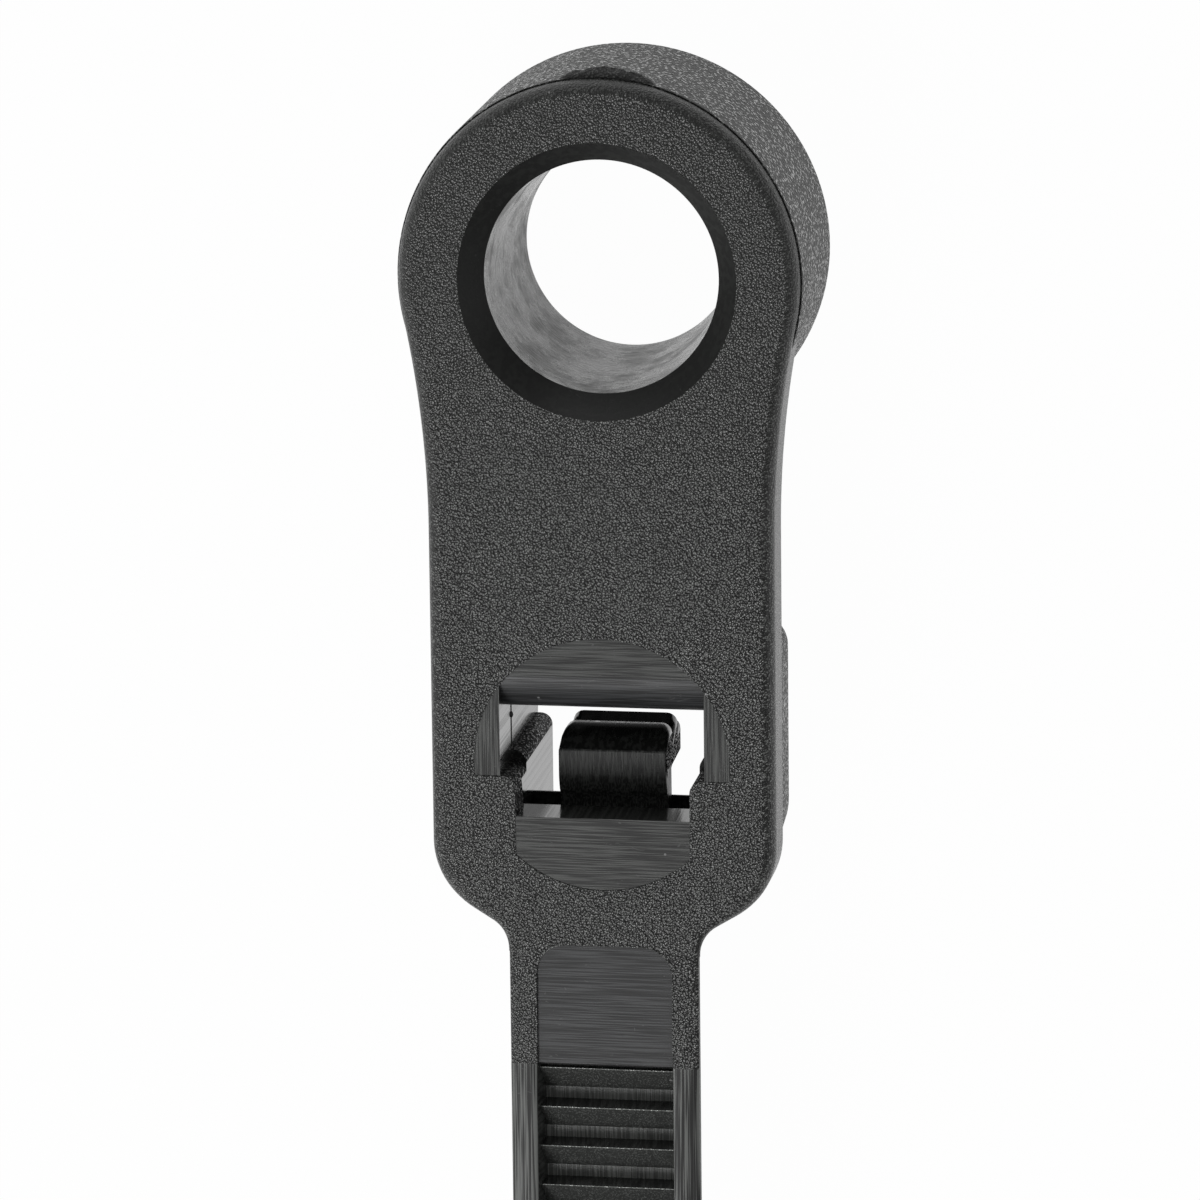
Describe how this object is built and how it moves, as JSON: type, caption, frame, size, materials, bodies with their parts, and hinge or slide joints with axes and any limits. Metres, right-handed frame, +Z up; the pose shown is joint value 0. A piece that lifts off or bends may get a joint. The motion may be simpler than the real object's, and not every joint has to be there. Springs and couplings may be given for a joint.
{
  "type": "cable tie with screw mount",
  "caption": "Nylon cable tie with a toothed strap, a locking head and a raised eyelet for a screw.",
  "frame": {"origin": "on the eyelet bore's axis, in the plane of the flat that seats on the panel", "axes": "+Z up out of the toothed face, along the bore; +Y from the strap towards the eyelet, so the strap runs out to -Y; X across the strap"},
  "size_m": [0.01, 0.2028, 0.0056],
  "materials": {
    "black_nylon": "black nylon, spark-eroded grain on the faces, smooth where the mould's cores shaped it"
  },
  "bodies": {
    "root": {"cable_tie": "black_nylon"}
  },
  "joints": []
}
